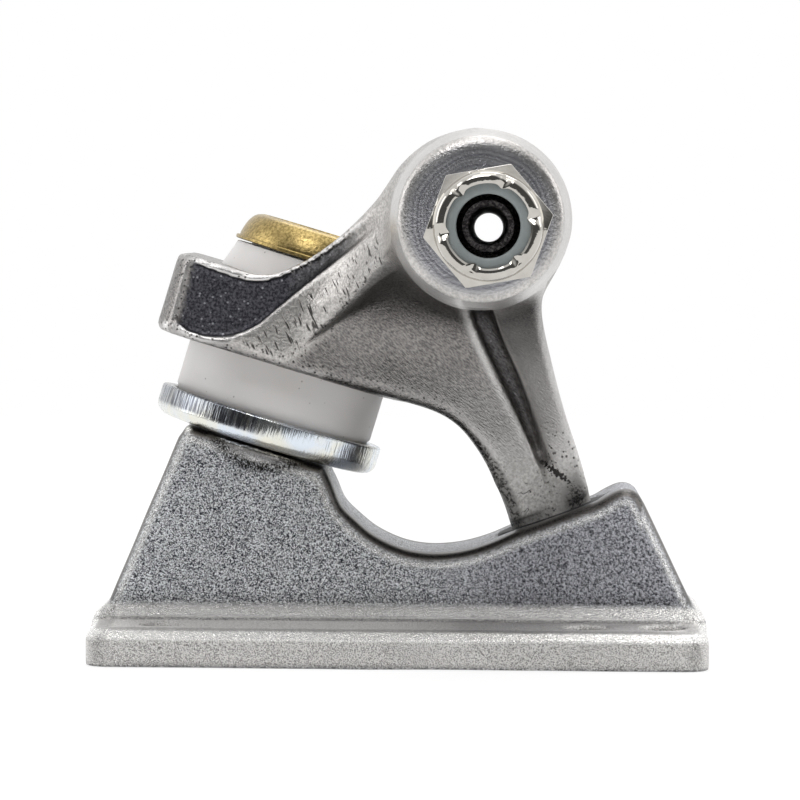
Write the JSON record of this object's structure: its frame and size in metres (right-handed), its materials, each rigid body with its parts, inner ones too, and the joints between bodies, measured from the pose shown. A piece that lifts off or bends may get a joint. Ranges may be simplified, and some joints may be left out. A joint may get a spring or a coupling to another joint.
{
  "type": "skateboard truck",
  "caption": "Cast truck that carries a board's axle and steers by leaning: baseplate, hanger on urethane bushings, kingpin, hollow axle, nuts and speed washers.",
  "frame": {"origin": "centre of the baseplate's underside, the face that bolts to the deck", "axes": "+Z away from the deck, +X towards the pivot cup, +Y along the axle"},
  "size_m": [0.0786, 0.222, 0.0668],
  "materials": {
    "base_casting": "fine bead-blasted cast aluminium with burnished edges",
    "hanger_casting": "raw cast aluminium, tumbled bright on its edges",
    "black_urethane": "moulded black urethane",
    "white_urethane": "cast white urethane, slightly translucent",
    "zinc_steel": "bright zinc plated steel",
    "brass_plate": "satin brass coloured plating",
    "nickel_steel": "bright nickel plated steel",
    "axle_steel": "ground chromoly steel",
    "black_steel": "black oxide alloy steel",
    "nylon": "blue-grey nylon"
  },
  "bodies": {
    "base": {"baseplate": "base_casting", "pivot_cup": "black_urethane", "bottom_washer": "zinc_steel", "bottom_bushing": "white_urethane", "top_bushing": "white_urethane", "kingpin_nut": "zinc_steel", "kingpin_nut_insert": "nylon"},
    "hanger": {"hanger": "hanger_casting", "axle": "axle_steel"},
    "top_washer": {"top_washer": "brass_plate"},
    "kingpin": {"kingpin": "black_steel"},
    "left_outer_washer": {"speed_washer_outer_left": "zinc_steel"},
    "left_nut": {"axle_nut_left": "nickel_steel", "axle_nut_insert_left": "nylon"},
    "left_inner_washer": {"speed_washer_inner_left": "zinc_steel"},
    "right_outer_washer": {"speed_washer_outer_right": "zinc_steel"},
    "right_nut": {"axle_nut_right": "nickel_steel", "axle_nut_insert_right": "nylon"},
    "right_inner_washer": {"speed_washer_inner_right": "zinc_steel"}
  },
  "joints": [
    {"name": "hanger_steer", "type": "hinge", "parent": "base", "child": "hanger", "pos_m": [-0.01364, 0, 0.04172], "axis": [-0.7699, 0, 0.6382], "range_deg": [-15, 15], "stiffness_Nm_per_rad": 15, "deforming": ["bottom_bushing", "top_bushing", "pivot_cup"]},
    {"name": "top_washer_travel", "type": "slide", "parent": "base", "child": "top_washer", "axis": [0.284, 0, 0.9588], "range_m": [0, 0.00212]},
    {"name": "kingpin_turn", "type": "hinge", "parent": "top_washer", "child": "kingpin", "pos_m": [-0.018, 0, 0.027], "axis": [0.284, 0, 0.9588], "range_deg": [0, 720]},
    {"name": "left_nut_travel", "type": "slide", "parent": "hanger", "child": "left_outer_washer", "axis": [0, -1, 0], "range_m": [-0.006, 0.003], "deforming": ["axle_nut_insert_left"]},
    {"name": "left_nut_turn", "type": "hinge", "parent": "left_outer_washer", "child": "left_nut", "pos_m": [0.0111, -0.1076, 0.0556], "axis": [0, -1, 0], "range_deg": [-2041, 1020.5]},
    {"name": "left_inner_washer_slide", "type": "slide", "parent": "hanger", "child": "left_inner_washer", "axis": [0, -1, 0], "range_m": [0, 0.018]},
    {"name": "right_nut_travel", "type": "slide", "parent": "hanger", "child": "right_outer_washer", "axis": [0, 1, 0], "range_m": [-0.006, 0.003], "deforming": ["axle_nut_insert_right"]},
    {"name": "right_nut_turn", "type": "hinge", "parent": "right_outer_washer", "child": "right_nut", "pos_m": [0.0111, 0.1076, 0.0556], "axis": [0, 1, 0], "range_deg": [-2041, 1020.5]},
    {"name": "right_inner_washer_slide", "type": "slide", "parent": "hanger", "child": "right_inner_washer", "axis": [0, 1, 0], "range_m": [0, 0.018]}
  ],
  "couplings": [
    {"joint": "kingpin_turn", "follows": "top_washer_travel", "rad_per_m": 5936.9},
    {"joint": "left_nut_turn", "follows": "left_nut_travel", "rad_per_m": 5936.9},
    {"joint": "right_nut_turn", "follows": "right_nut_travel", "rad_per_m": 5936.9}
  ]
}
